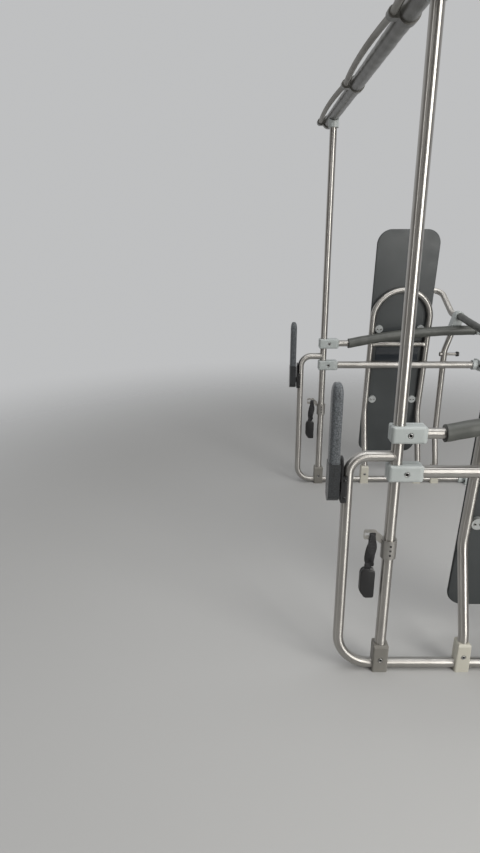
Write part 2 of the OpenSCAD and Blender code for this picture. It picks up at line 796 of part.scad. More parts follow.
// Sockets at the poles' tops, hollowed to fit under the overhead grip
module pole_saddles() {
    low_z = overhead_z - overhead_grip_r - saddle_h;
    color(casting) for (y = [front_y, rear_y]) difference() {
        translate([0, y, low_z]) cylinder(d = saddle_d, h = saddle_h + overhead_grip_r / 2);
        translate([0, y, low_z - 1]) cylinder(r = pole_r + fit_gap, h = saddle_h + overhead_grip_d);
        translate([0, y - saddle_d, overhead_z]) along_y()
            cylinder(r = overhead_grip_r + fit_gap, h = 2 * saddle_d);
    }
}

module wall_rail() {
    table = [[rail_stub + dip_start, 90, dip_slope, dip_bend_r],
             [0, 180, 2 * dip_slope, dip_arc_r],
             [0, 180, dip_slope, dip_bend_r],
             [dip_start + rail_run_out, 180, rise_slope, rise_r],
             [rise_len, -90, 90, turn_r],
             [spigot_len, 0, 0, 0]];
    color(steel) translate([wall_rail_x, front_y + post_back - rail_stub, wall_rail_z]) along_y()
        bent_tube(tube_d, table);
}

module wall_grip() {
    table = [[0, 90, dip_slope, dip_bend_r],
             [0, 180, 2 * dip_slope, dip_arc_r],
             [0, 180, dip_slope, dip_bend_r]];
    color(foam) translate([wall_rail_x, front_y + post_back + dip_start, wall_rail_z]) along_y()
        bent_tube(sleeve_d, table, tube_d + 2 * fit_gap);
}

pole(front_y);  // front_pole
hoop(front);  // front_hoop
tee_clamps(front_y);  // front_tee_clamps
foot_clamps(front_y);  // front_foot_clamps
grip_rail(front_y);  // front_grip_rail
grip(front_y);  // front_grip
plain_rail(front_y);  // front_plain_rail
wall_sockets(front_y);  // front_wall_sockets
wall_post(front_y);  // front_wall_post
post_head(front_y);  // front_post_head
post_stay(front_y);  // front_post_stay
arch(front_y);  // front_arch
panel(front_y);  // front_panel
pad(front_y);  // front_pad
fixings(front_y);  // front_fixings
belt_collar(front_y);  // front_belt_collar
belt_web(front_y);  // front_belt_web
buckle(front_y);  // front_buckle
arm_bracket(front);  // front_arm_bracket
arm_knuckle(front);  // front_arm_knuckle
arm_pad(front);  // front_arm_pad
pole(rear_y);  // rear_pole
hoop(rear);  // rear_hoop
tee_clamps(rear_y);  // rear_tee_clamps
foot_clamps(rear_y);  // rear_foot_clamps
grip_rail(rear_y);  // rear_grip_rail
grip(rear_y);  // rear_grip
plain_rail(rear_y);  // rear_plain_rail
wall_sockets(rear_y);  // rear_wall_sockets
wall_post(rear_y);  // rear_wall_post
post_head(rear_y);  // rear_post_head
post_stay(rear_y);  // rear_post_stay
arch(rear_y);  // rear_arch
panel(rear_y);  // rear_panel
pad(rear_y);  // rear_pad
fixings(rear_y);  // rear_fixings
belt_collar(rear_y);  // rear_belt_collar
belt_web(rear_y);  // rear_belt_web
buckle(rear_y);  // rear_buckle
arm_bracket(rear);  // rear_arm_bracket
arm_knuckle(rear);  // rear_arm_knuckle
arm_pad(rear);  // rear_arm_pad
overhead_rail();
overhead_grips();
overhead_collars();
overhead_bars();
pole_saddles();
wall_rail();
wall_grip();
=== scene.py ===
"""Looks of the wheelchair bay rails: camera, light, materials and the pieces that the plain solids lack."""

import json
import math

import bmesh
import bpy
from mathutils import Matrix, Vector


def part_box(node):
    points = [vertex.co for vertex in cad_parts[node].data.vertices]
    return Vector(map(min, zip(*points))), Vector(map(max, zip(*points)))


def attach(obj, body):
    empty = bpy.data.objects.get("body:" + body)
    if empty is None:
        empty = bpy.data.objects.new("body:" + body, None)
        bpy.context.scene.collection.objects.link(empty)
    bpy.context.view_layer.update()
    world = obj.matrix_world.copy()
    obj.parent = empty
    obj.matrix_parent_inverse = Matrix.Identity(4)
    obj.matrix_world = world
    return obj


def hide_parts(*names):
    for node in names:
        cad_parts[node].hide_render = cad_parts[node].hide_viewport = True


# Camera, from the two frames' places in the photograph. The image is 480 by 853 pixels.
IMAGE_HEIGHT_PX = 853
FOCAL_PX = 569.0
SENSOR_MM = 36.0
CAMERA_AT = (-0.415, -1.410, 1.217)
CAMERA_DOWN_DEG = 17.87

# Studio: the backdrop runs from dark to pale over a span of directions, and the floor fades out into it
BACKDROP_PALE = (0.52, 0.525, 0.53)
BACKDROP_DARK = (0.12, 0.113, 0.104)
BACKDROP_SPAN = (-0.35, 0.5)
BACKDROP_LEAN = 0.2
FLOOR_COLOUR = (0.45, 0.45, 0.445)
FLOOR_ROUGHNESS = 0.7
FLOOR_RADIUS = 5.0
FLOOR_FADE = (1.4, 4.2)
MIDDLE = (0.3, 0.7, 0.0)
LAMPS_FACE = (0.2, 0.6, 0.75)
# Each lamp: name, place, size, power in watts, colour
LAMPS = (
    ("panel_window", (2.0, -2.3, 1.6), (1.7, 2.9), 94, (1.0, 0.985, 0.95)),
    ("panel_above", (0.2, -0.1, 3.4), (3.0, 2.4), 58, (1, 1, 1)),
    ("strip_aisle", (-2.8, -1.5, 1.4), (0.35, 2.2), 8, (1, 1, 1)),
)

BODY = "bay_frames"
SIDES = ("front", "rear")
MM = 0.001
FRONTWARD = (0, -1, 0)

# Tubes. A hoop's row is the X of its upright and the radius of its lower bend.
TUBE_R = 15 * MM
HOOP_TOP_R = 50 * MM
HOOP_TOP_Z = 680 * MM
HOOP_MIDDLE_Z = 300 * MM
LOW_Z = 19 * MM
FRONT_HOOP = (-126 * MM, 100 * MM)
REAR_HOOP = (-110 * MM, 70 * MM)
ARCH_X = 385 * MM
ARCH_HALF = 140 * MM
CROWN_Z = 861 * MM
CROSS_R = 12.5 * MM
CROSS_UP = 362 * MM
POST_X = 618 * MM
BELT_Z = 407 * MM
WELD_R = 1.6 * MM
WELD_RIPPLE = 0.25 * MM

# Backrest: its plane leans back from the knee, and ups are measured along it
KNEE_BACK = 90 * MM
KNEE_Z = 372 * MM
RECLINE_DEG = 6.0
PANEL_FACE = 15.2 * MM
PANEL_T = 12 * MM
PANEL_BACK = PANEL_FACE + PANEL_T
BOARD_HALF = 148 * MM
BOARD_LOW = -245 * MM
BOARD_HIGH = 908 * MM
BOARD_TOP_R = 66 * MM
BOARD_LOW_R = 52 * MM
EDGE_STRIP_R = 3.2 * MM
EDGE_STRIP_IN = 0.6 * MM
FIXING_IN = 36 * MM
FIXING_T = 13 * MM
FIXING_UPS = (62 * MM, 437 * MM)

# Pad: the blank's inset, gap and depth, its simulation, the cap on its swelling, its channels and its welt
PAD_IN = 8 * MM
PAD_BLANK_GAP = 0.5 * MM
PAD_DEPTH = 15 * MM
PAD_GAP = 0.3 * MM
PAD_VOXEL = 6.5 * MM
PAD_PRESSURE = 4.0
PAD_STIFFNESS = 25.0
PAD_STEPS = 14
PAD_CAP = 6 * MM
CHANNEL_UPS = (240 * MM, 640 * MM)
CHANNEL_HALF = 7 * MM
CHANNEL_DEPTH = 0.35
WELT_R = 2.6 * MM
WELT_IN = 5.5 * MM
WELT_BACK = 6 * MM

# Blank plate: half width, lower and upper edge, corner, and its inset and thickness at each step
PLATE_HALF = 108 * MM
PLATE_LOW = CROSS_UP - 118 * MM
PLATE_HIGH = CROSS_UP - 20 * MM
PLATE_R = 6 * MM
PLATE_STEPS = ((0, 0), (0, 1.6 * MM), (1.2 * MM, 2.4 * MM))

# Screws: places on their clamps and flanges, and each head's radius and height
TEE_SCREW_X = 25 * MM
POLE_SCREW_Z = 42 * MM
LEG_SCREW_Z = 52 * MM
CLAMP_RECESS = 3 * MM
CLAMP_HEAD = (6.4 * MM, 4.6 * MM)
FLANGE_T = 8 * MM
FLANGE_HALF = 26 * MM
FLANGE_SCREW_OFF = 34 * MM
FLANGE_HEAD = (7 * MM, 4 * MM)
FIXING_SCREW_OFF = 8 * MM
FIXING_HEAD = (4.2 * MM, 2.4 * MM)
COLLAR_FACE = 19.5 * MM
COLLAR_PITCH = 14 * MM
COLLAR_HEAD = (3.0 * MM, 3.2 * MM)
BRACKET_IN = 8 * MM
BRACKET_UPS = (24 * MM, -26 * MM)
BRACKET_HEAD = (4.5 * MM, 2.6 * MM)
SOCKET_SHARE = 0.66
BUTTON_SOCKET_SHARE = 0.30

# Foam grips: a round lip at each end, and a skin that is pressed in a little here and there
GRIP_SLOPE_DEG = 12.0
GRIP_BEND_R = 60 * MM
DIP_SLOPE_DEG = 7.0
DIP_BEND_R = 200 * MM
SLEEVE_R = 17 * MM
LIP = 2 * MM
FOAM_STEP = 6 * MM
FOAM_PRESS = 0.25 * MM
GRIP_BORE_R = 16 * MM
END_OUT = 0.4 * MM
END_OVER = 0.3 * MM
COLLAR_LENGTH = 26 * MM

# Foot clamps from here to the wall take the paler, creamier tone of painted light; the pole's keep a darker,
# shaded tone
LEG_CLAMPS_X = ARCH_X - ARCH_HALF - 50 * MM

# Places of the colour sockets on a Mix node
MIX_FACTOR = 0
MIX_FIRST = 6
MIX_SECOND = 7
MIX_RESULT = 2


def new_material(name):
    """Returns a material with its node tree, shader and a texture coordinate node."""
    mat = bpy.data.materials.new(name)
    mat.use_nodes = True
    tree = mat.node_tree
    return mat, tree, tree.nodes["Principled BSDF"], tree.nodes.new("ShaderNodeTexCoord")


def noise(tree, coords, scale, detail=2.0):
    """Adds a noise texture in object space and returns its factor output."""
    texture = tree.nodes.new("ShaderNodeTexNoise")
    texture.inputs["Scale"].default_value = scale
    texture.inputs["Detail"].default_value = detail
    tree.links.new(coords.outputs["Object"], texture.inputs["Vector"])
    return texture.outputs["Fac"]


def separate(tree, vector):
    """X, Y and Z of a vector."""
    split = tree.nodes.new("ShaderNodeSeparateXYZ")
    tree.links.new(vector, split.inputs["Vector"])
    return split.outputs["X"], split.outputs["Y"], split.outputs["Z"]


def remap(tree, value, low, high, from_low=0.3, from_high=0.7):
    """Maps a factor from one range to another."""
    node = tree.nodes.new("ShaderNodeMapRange")
    node.inputs["From Min"].default_value = from_low
    node.inputs["From Max"].default_value = from_high
    node.inputs["To Min"].default_value = low
    node.inputs["To Max"].default_value = high
    tree.links.new(value, node.inputs["Value"])
    return node.outputs["Result"]


def math_node(tree, operation, first, second):
    """Adds a math node on a link or number and another."""
    node = tree.nodes.new("ShaderNodeMath")
    node.operation = operation
    for socket, value in zip(node.inputs, (first, second)):
        if isinstance(value, (int, float)):
            socket.default_value = value
        else:
            tree.links.new(value, socket)
    return node.outputs[0]


def tint(tree, shader, value, dark, light):
    """Mixes two colours by a factor into the base colour."""
    ramp = tree.nodes.new("ShaderNodeValToRGB")
    ramp.color_ramp.elements[0].position = 0.3
    ramp.color_ramp.elements[1].position = 0.7
    ramp.color_ramp.elements[0].color = (*dark, 1)
    ramp.color_ramp.elements[1].color = (*light, 1)
    tree.links.new(value, ramp.inputs["Fac"])
    tree.links.new(ramp.outputs["Color"], shader.inputs["Base Color"])


def bump(tree, shader, value, height, strength=1.0, edge=0.0):
    """Feeds a factor to the shader's normal as a bump in metres, with the sharp edges eased if asked."""
    node = tree.nodes.new("ShaderNodeBump")
    node.inputs["Strength"].default_value = strength
    node.inputs["Distance"].default_value = height
    tree.links.new(value, node.inputs["Height"])
    tree.links.new(node.outputs["Normal"], shader.inputs["Normal"])
    if edge > 0:
        eased = tree.nodes.new("ShaderNodeBevel")
        eased.samples = 4
        eased.inputs["Radius"].default_value = edge
        tree.links.new(eased.outputs["Normal"], node.inputs["Normal"])


def straight_lines(tree, shader, along):
    """Sets the direction along a straight tube."""
    axis = tree.nodes.new("ShaderNodeCombineXYZ")
    for socket, value in zip(axis.inputs, along):
        socket.default_value = value
    tree.links.new(axis.outputs["Vector"], shader.inputs["Tangent"])


def cross_of(tree, shader, over_x, over_z):
    """Sets the direction along a tube in the XZ plane, square to an offset from inside its bends."""
    axis = tree.nodes.new("ShaderNodeCombineXYZ")
    tree.links.new(over_z, axis.inputs["X"])
    tree.links.new(math_node(tree, "MULTIPLY", over_x, -1.0), axis.inputs["Z"])
    tree.links.new(axis.outputs["Vector"], shader.inputs["Tangent"])


def hoop_lines(tree, shader, coords, left, low_r):
    """Follows a hoop: its upright at a left X, its two bends and its level tubes."""
    x, _, z = separate(tree, coords.outputs["Object"])
    below = math_node(tree, "LESS_THAN", z, HOOP_MIDDLE_Z)
    more = math_node(tree, "MULTIPLY", below, low_r - HOOP_TOP_R)
    inner = math_node(tree, "ADD", more, left + HOOP_TOP_R)
    over_x = math_node(tree, "MINIMUM", math_node(tree, "SUBTRACT", x, inner), 0.0)
    above_top = math_node(tree, "MAXIMUM", math_node(tree, "SUBTRACT", z, HOOP_TOP_Z - HOOP_TOP_R), 0.0)
    below_low = math_node(tree, "MINIMUM", math_node(tree, "SUBTRACT", z, LOW_Z + low_r), 0.0)
    cross_of(tree, shader, over_x, math_node(tree, "ADD", above_top, below_low))


def arch_lines(tree, shader, coords):
    """Follows an arch: its legs, its crown and the cross tube between the legs."""
    between_legs = ARCH_HALF - TUBE_R - 2 * MM
    under_crown = CROWN_Z - 10 * MM
    far_off = 9.0
    x, _, z = separate(tree, coords.outputs["Object"])
    over_x = math_node(tree, "SUBTRACT", x, ARCH_X)
    above = math_node(tree, "MAXIMUM", math_node(tree, "SUBTRACT", z, CROWN_Z), 0.0)
    inside = math_node(tree, "LESS_THAN", math_node(tree, "ABSOLUTE", over_x, 0.0), between_legs)
    low = math_node(tree, "LESS_THAN", z, under_crown)
    cross_tube = math_node(tree, "MULTIPLY", math_node(tree, "MULTIPLY", inside, low), far_off)
    cross_of(tree, shader, over_x, math_node(tree, "ADD", above, cross_tube))


def stainless(name, along=None, hoop=None, dark=(0.46, 0.445, 0.42), light=(0.54, 0.525, 0.50)):
    """Ground stainless tube: the lines round it draw each light out along it. It has faint smears."""
    mat, tree, shader, coords = new_material(name)
    shader.inputs["Metallic"].default_value = 1.0
    shader.inputs["Anisotropic"].default_value = 0.97
    if along:
        straight_lines(tree, shader, along)
    elif hoop:
        hoop_lines(tree, shader, coords, *hoop)
    else:
        arch_lines(tree, shader, coords)
    tint(tree, shader, noise(tree, coords, 9.0, 4.0), dark, light)
    smears = noise(tree, coords, 22.0, 3.0)
    tree.links.new(remap(tree, smears, 0.33, 0.40), shader.inputs["Roughness"])
    return mat


def blasted_steel(name, dark, light, roughness):
    """Bead-blasted steel, the same in every direction, with eased edges. Its near-black copies are painted
    shade.
    """
    mat, tree, shader, coords = new_material(name)
    shader.inputs["Metallic"].default_value = 1.0
    tint(tree, shader, noise(tree, coords, 30.0, 4.0), dark, light)
    grit = noise(tree, coords, 900.0, 2.0)
    tree.links.new(remap(tree, grit, roughness - 0.05, roughness + 0.06), shader.inputs["Roughness"])
    bump(tree, shader, grit, 0.00004, 0.5, edge=1.2 * MM)
    return mat


def cast_grey(name, dark, light, roughness=0.42, edge=1.6 * MM):
    """Painted casting with a slight orange peel and eased edges."""
    mat, tree, shader, coords = new_material(name)
    tint(tree, shader, noise(tree, coords, 14.0, 4.0), dark, light)
    peel = noise(tree, coords, 420.0, 2.0)
    tree.links.new(remap(tree, peel, roughness - 0.05, roughness + 0.08), shader.inputs["Roughness"])
    bump(tree, shader, peel, 0.00010, 0.6, edge)
    return mat


def foot_grey_lit_and_shaded(name, dark, light, lit_leg_tone):
    """Clamp paint in a lit and a shaded tone, both painted: paler and creamier on the clamps of the arch and
    the post, as light on them, and darker on the pole's, as shade.
    """
    mat = cast_grey(name, dark, light)
    tree = mat.node_tree
    base = tree.nodes["Principled BSDF"].inputs["Base Color"]
    shaded_pole_tone = base.links[0].from_socket
    coords = tree.nodes.new("ShaderNodeTexCoord")
    x, _, _ = separate(tree, coords.outputs["Object"])
    mix = tree.nodes.new("ShaderNodeMix")
    mix.data_type = "RGBA"
    mix.inputs[MIX_SECOND].default_value = (*lit_leg_tone, 1)
    tree.links.new(math_node(tree, "GREATER_THAN", x, LEG_CLAMPS_X), mix.inputs[MIX_FACTOR])
    tree.links.new(shaded_pole_tone, mix.inputs[MIX_FIRST])
    tree.links.new(mix.outputs[MIX_RESULT], base)
    return mat


def foam(name, dark, light, pore=1100.0, gloss=(0.42, 0.60)):
    """Closed-cell foam skin with fine pores."""
    mat, tree, shader, coords = new_material(name)
    tint(tree, shader, noise(tree, coords, 30.0, 5.0), dark, light)
    pores = noise(tree, coords, pore, 3.0)
    tree.links.new(remap(tree, pores, *gloss), shader.inputs["Roughness"])
    bump(tree, shader, pores, 0.00022, 0.6)
    return mat


def pebbled(name, dark, light, rough_low, rough_high, cell=420.0, height=0.00022, edge=0.0):
    """Moulded or coated sheet with a pebble grain."""
    mat, tree, shader, coords = new_material(name)
    tint(tree, shader, noise(tree, coords, 6.0, 4.0), dark, light)
    cells = tree.nodes.new("ShaderNodeTexVoronoi")
    cells.inputs["Scale"].default_value = cell
    tree.links.new(coords.outputs["Object"], cells.inputs["Vector"])
    smear = noise(tree, coords, 18.0, 5.0)
    tree.links.new(remap(tree, smear, rough_low, rough_high), shader.inputs["Roughness"])
    bump(tree, shader, cells.outputs["Distance"], height, 0.45, edge)
    return mat


def grained(name, dark, light):
    """Soft skin with a coarse speckled grain and a pale sheen."""
    mat, tree, shader, coords = new_material(name)
    grain = noise(tree, coords, 330.0, 4.0)
    tint(tree, shader, grain, dark, light)
    tree.links.new(remap(tree, grain, 0.55, 0.38), shader.inputs["Roughness"])
    shader.inputs["Sheen Weight"].default_value = 0.25
    shader.inputs["Sheen Roughness"].default_value = 0.4
    bump(tree, shader, grain, 0.0007, 0.7)
    return mat


def webbing(name):
    """Black belt webbing with its woven ribs across the strap."""
    mat, tree, shader, coords = new_material(name)
    weave = tree.nodes.new("ShaderNodeTexWave")
    weave.bands_direction = "Z"
    weave.inputs["Scale"].default_value = 260.0
    weave.inputs["Distortion"].default_value = 1.0
    tree.links.new(coords.outputs["Object"], weave.inputs["Vector"])
    tint(tree, shader, weave.outputs["Fac"], (0.010, 0.010, 0.011), (0.035, 0.035, 0.038))
    shader.inputs["Roughness"].default_value = 0.7
    bump(tree, shader, weave.outputs["Fac"], 0.0004, 0.8)
    return mat


def make_materials():
    """Every material of the scene, by a plain name."""
    return {
        "pole": stainless("pole_steel", along=(0, 0, 1)),
        "cross": stainless("cross_rail_steel", along=(1, 0, 0)),
        "long": stainless("long_rail_steel", along=(0, 1, 0)),
        # Grab bars: a darker copy of the stainless, painted shade for the dark ceiling that they reflect
        "bar": stainless("grab_bar_painted_shade", along=(0, 1, 0), dark=(0.29, 0.28, 0.26),
                         light=(0.36, 0.35, 0.33)),
        "front_hoop": stainless("front_hoop_steel", hoop=FRONT_HOOP),
        "rear_hoop": stainless("rear_hoop_steel", hoop=REAR_HOOP),
        "arch": stainless("arch_steel"),
        # Near-black screws on the flanges, collars and brackets: their dark tone is painted shade of the
        # screw holes
        "screw": blasted_steel("screw_painted_shade", (0.055, 0.055, 0.056), (0.085, 0.085, 0.084), 0.28),
        "head": blasted_steel("screw_head_steel", (0.42, 0.42, 0.41), (0.52, 0.52, 0.51), 0.30),
        # Near-black floors of the hexagon sockets: painted shade
        "socket": blasted_steel("socket_painted_shade", (0.010, 0.010, 0.010), (0.016, 0.016, 0.016), 0.45),
        "collar": blasted_steel("collar_steel", (0.36, 0.35, 0.33), (0.44, 0.43, 0.41), 0.42),
        "clamp": cast_grey("clamp_paint", (0.37, 0.405, 0.40), (0.44, 0.47, 0.465), 0.36, 4.0 * MM),
        # Foot clamps: lit and shaded tones of one paint, painted light on the arch and post clamps and
        # painted shade on the pole's
        "foot": foot_grey_lit_and_shaded("foot_clamp_lit_and_shaded", (0.17, 0.163, 0.147), (0.22, 0.212, 0.192),
                          (0.50, 0.485, 0.42)),
        "fixing": cast_grey("board_fixing_paint", (0.34, 0.36, 0.36), (0.44, 0.46, 0.46)),
        "foam": foam("grip_foam", (0.062, 0.066, 0.060), (0.090, 0.094, 0.086), 1100.0, (0.34, 0.48)),
        "overhead": foam("overhead_foam", (0.092, 0.090, 0.082), (0.120, 0.118, 0.108), 700.0,
                         (0.26, 0.36)),
        # Near-black foam on the grips' cut ends: painted shade on the end faces
        "end": foam("foam_end_painted_shade", (0.012, 0.012, 0.011), (0.020, 0.020, 0.018)),
        "arm_pad": grained("arm_pad_skin", (0.016, 0.018, 0.020), (0.150, 0.166, 0.182)),
        "knuckle": grained("knuckle_skin", (0.008, 0.009, 0.010), (0.036, 0.040, 0.044)),
        "black": pebbled("black_plastic", (0.010, 0.010, 0.011), (0.018, 0.018, 0.019), 0.34, 0.48, 1500.0,
                         0.0001, 1.0 * MM),
        "button": pebbled("button_plastic", (0.10, 0.10, 0.10), (0.14, 0.14, 0.14), 0.35, 0.45, 1500.0,
                          0.00005),
        "rubber": foam("buffer_rubber", (0.008, 0.008, 0.008), (0.016, 0.016, 0.016), 600.0),
        "panel": pebbled("board_shell", (0.038, 0.043, 0.045), (0.052, 0.058, 0.060), 0.30, 0.44, 480.0,
                         0.0003, 3.0 * MM),
        "plate": pebbled("blank_plate", (0.026, 0.031, 0.037), (0.030, 0.036, 0.043), 0.14, 0.22, 900.0,
                         0.00002),
        "vinyl": pebbled("board_vinyl", (0.034, 0.038, 0.041), (0.050, 0.055, 0.059), 0.38, 0.55, 620.0,
                         0.0003),
        "webbing": webbing("belt_webbing"),
        "thread": foam("stitch_thread", (0.030, 0.030, 0.032), (0.050, 0.050, 0.052), 900.0),
    }


# Node name without its frame, and the material that it takes
FRAME_FINISH = {
    "pole": "pole", "hoop": "hoop", "tee_clamps": "clamp", "foot_clamps": "foot", "grip_rail": "cross",
    "plain_rail": "cross", "wall_sockets": "clamp", "wall_post": "pole", "post_head": "clamp",
    "post_stay": "cross", "arch": "arch", "panel": "panel", "fixings": "fixing", "belt_collar": "collar",
    "arm_bracket": "black", "arm_knuckle": "knuckle",
}
SHARED_FINISH = {
    "overhead_rail": "long", "overhead_collars": "overhead", "overhead_bars": "bar", "pole_saddles": "clamp",
    "wall_rail": "long",
}


def dress_nodes():
    """Gives every node that still shows its material."""
    finish = dict(SHARED_FINISH)
    for side in SIDES:
        for part, material in FRAME_FINISH.items():
            finish[f"{side}_{part}"] = f"{side}_hoop" if part == "hoop" else material
    for name, material in finish.items():
        node = FRAME["nodes"][name]
        node.data.materials.clear()
        node.data.materials.append(MATERIALS[material])


def node_box(name):
    """Lowest and highest corner of a node as vectors."""
    low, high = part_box(name)
    return Vector(low), Vector(high)


def node_middle(name):
    """Middle of a node's box."""
    low, high = node_box(name)
    return (low + high) / 2


def joint_at(name):
    """The place of a joint, in metres."""
    for joint in FRAME["record"]["behaviour"]["joints"]:
        if joint["name"] == name:
            return Vector(joint["pos_m"])
    raise ValueError(name)


def pole_foot(side):
    """A frame's place on the floor, under its pole's axis."""
    middle = node_middle(f"{side}_pole")
    return Vector((middle.x, middle.y, 0))


def at_knee(side):
    """Matrix of a frame's reclined backrest plane, from its knee."""
    y = pole_foot(side).y + KNEE_BACK
    turn = Matrix.Rotation(math.radians(RECLINE_DEG), 4, "X")
    return Matrix.Translation((node_middle(f"{side}_panel").x, y, KNEE_Z)) @ turn


def mesh_of(name, bm):
    """Mesh of a bmesh, with its faces turned outward. The bmesh is freed."""
    mesh = bpy.data.meshes.new(name)
    bmesh.ops.recalc_face_normals(bm, faces=bm.faces)
    bm.to_mesh(mesh)
    bm.free()
    return mesh


def linked(name, data):
    """Adds an object with a mesh, lamp or camera to the scene."""
    thing = bpy.data.objects.new(name, data)
    bpy.context.collection.objects.link(thing)
    return thing


def put(name, mesh_or_bm, material, body=BODY, smooth=True, place=None):
    """Makes an object of a mesh or bmesh, with its material, slot and body, and moves it into place."""
    mesh = mesh_or_bm
    if isinstance(mesh_or_bm, bmesh.types.BMesh):
        mesh = mesh_of(name, mesh_or_bm)
    mesh.materials.clear()
    mesh.materials.append(MATERIALS[material])
    for face in mesh.polygons:
        face.use_smooth = smooth
    piece = linked(name, mesh)
    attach(piece, body)
    if place:
        piece.data.transform(place)
    return piece


def loft(bm, rings, cap_start=True, cap_end=True):
    """Joins rings of equal counts by quads, and closes the ends."""
    verts = [[bm.verts.new(point) for point in ring] for ring in rings]
    count = len(verts[0])
    for low, high in zip(verts, verts[1:]):
        for i in range(count):
            j = (i + 1) % count
            bm.faces.new((low[i], low[j], high[j], high[i]))
    if cap_start:
        bm.faces.new(list(reversed(verts[0])))
    if cap_end:
        bm.faces.new(verts[-1])


def circle_ring(place, radius, height, count):
    """Points of a circle at a height on the local Z axis."""
    points = []
    for i in range(count):
        angle = i * 2 * math.pi / count
        points.append(place @ Vector((radius * math.cos(angle), radius * math.sin(angle), height)))
    return points


def hexagon_ring(place, radius, height, count):
    """Points spread round a hexagon of that corner radius."""
    points = []
    for i in range(count):
        angle = 2 * math.pi * i / count
        reach = radius * math.cos(math.pi / 6) / math.cos(angle % (math.pi / 3) - math.pi / 6)
        points.append(place @ Vector((reach * math.cos(angle), reach * math.sin(angle), height)))
    return points


def facing(at, direction):
    """Matrix whose Z axis points in a direction."""
    turn = Vector(direction).to_track_quat("Z", "Y").to_matrix().to_4x4()
    return Matrix.Translation(at) @ turn


def socket_screw(bm, at, direction, head, sides=36):
    """Cylinder head with a turned edge, a rounded rim and a hexagon socket."""
    place = facing(at, direction)
    radius, height = head
    edge = 0.12 * radius
    turned = ((radius, 0), (radius, height - edge), (radius - 0.35 * edge, height - 0.35 * edge),
              (radius - edge, height), (0.74 * radius, height))
    rings = [circle_ring(place, r, up, sides) for r, up in turned]
    for up in (height - 0.06 * radius, 0.45 * height):
        rings.append(hexagon_ring(place, SOCKET_SHARE * radius, up, sides))
    loft(bm, rings)


def socket_shade_floor(bm, at, direction, head, sides=36):
    """Near-black bottom of a screw's hexagon socket, a little below its rim: painted shade for the depth of
    the socket.
    """
    place = facing(at, direction)
    radius, height = head
    loft(bm, [hexagon_ring(place, SOCKET_SHARE * radius, share * height, sides) for share in (0.45, 0.85)])


def front_screw(heads, shade_discs, at, head, sides=36):
    """Socket screw that faces the front, with the bottom of its socket, painted near-black as shade, in a
    second mesh.
    """
    socket_screw(heads, at, FRONTWARD, head, sides)
    socket_shade_floor(shade_discs, at, FRONTWARD, head, sides)


def button_screw(bm, at, direction, head, sides=36):
    """Domed head with a hexagon socket."""
    place = facing(at, direction)
    radius, height = head
    rings = [circle_ring(place, radius, 0, sides)]
    for step in range(1, 6):
        angle = math.radians(14 * step)
        rings.append(circle_ring(place, radius * math.cos(angle), height * math.sin(angle), sides))
    for share in (0.92, 0.35):
        rings.append(hexagon_ring(place, BUTTON_SOCKET_SHARE * radius, share * height, sides))
    loft(bm, rings)


def sweep(bm, points, radius, sides=12, closed=False):
    """Round tube along points. The radius is a number or one for each point."""
    points = [Vector(point) for point in points]
    count = len(points)
    radii = [radius] * count if isinstance(radius, (int, float)) else radius
    ahead = [points[(i + 1) % count] if closed or i + 1 < count else points[i] for i in range(count)]
    behind = [points[i - 1] if closed or i > 0 else points[i] for i in range(count)]
    side = None
    rings = []
    for point, near, far, r in zip(points, behind, ahead, radii):
        along = (far - near).normalized()
        if side is None:
            side = along.orthogonal().normalized()
        side = (side - along * side.dot(along)).normalized()
        other = along.cross(side)
        ring = []
        for i in range(sides):
            angle = 2 * math.pi * i / sides
            ring.append(point + r * (math.cos(angle) * side + math.sin(angle) * other))
        rings.append(ring)
    if closed:
        rings.append(rings[0])
        loft(bm, rings, False, False)
        bmesh.ops.remove_doubles(bm, verts=bm.verts, dist=1e-6)
    else:
        loft(bm, rings)


def arc_path(start, heading_deg, rows, steps_per_row):
    """Points of arcs in a row, each [turn in degrees, radius], in the plane of a first and second axis."""
    x, y = start
    heading = math.radians(heading_deg)
    points = [(x, y)]
    for turn_deg, radius in rows:
        turn = math.radians(turn_deg)
        for _ in range(steps_per_row):
            step = turn / steps_per_row
            chord = 2 * radius * math.sin(abs(step) / 2)
            x += chord * math.cos(heading + step / 2)
            y += chord * math.sin(heading + step / 2)
            heading += step
            points.append((x, y))
    return points


def even_path(points, step):
    """Points at even steps along a line through points."""
    points = [Vector(point) for point in points]
    result = [points[0]]
    left = step
    for start, end in zip(points, points[1:]):
        length = (end - start).length
        while left < length:
            result.append(start.lerp(end, left / length))
            left += step
        left -= length
    result.append(points[-1])
    return result


def foam_tube(name, points, radius, node, material="foam"):
    """Foam grip along points, in place of its plain solid."""
    body = even_path(points, FOAM_STEP)
    first = (body[1] - body[0]).normalized()
    last = (body[-1] - body[-2]).normalized()
    lip = [(reach * LIP, radius - drop * LIP)
           for reach, drop in ((0, 1), (0.12, 0.55), (0.35, 0.25), (0.65, 0.07), (1, 0))]
    rows = [(body[0] + first * offset, r) for offset, r in lip]
    for i, point in enumerate(body):
        if min((point - body[0]).length, (point - body[-1]).length) > 1.5 * LIP:
            press = FOAM_PRESS * (math.sin(0.23 * i) + math.sin(0.61 * i + 1.3))
            rows.append((point, radius - 0.4 * MM + press))
    rows += [(body[-1] - last * offset, r) for offset, r in reversed(lip)]
    bm = bmesh.new()
    sweep(bm, [point for point, _ in rows], [r for _, r in rows], 40)
    piece = put(name, bm, material)
    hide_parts(node)


def shaded_end_ring(bm, at, direction, outer, inner):
    """Cut end of a foam grip: a thin ring with a rounded outer edge, painted near-black as the shade on the
    end face.
    """
    place = facing(at, direction)
    rows = ((inner, 0), (outer - 1.5 * MM, 0), (outer - 0.4 * MM, 0.4 * MM), (outer, 1.4 * MM),
            (outer - 0.3 * MM, 3 * MM), (outer - 2 * MM, 3.2 * MM), (inner, 3.2 * MM), (inner, 0))
    loft(bm, [circle_ring(place, radius, height, 48) for radius, height in rows], False, False)
    bmesh.ops.remove_doubles(bm, verts=bm.verts, dist=1e-6)


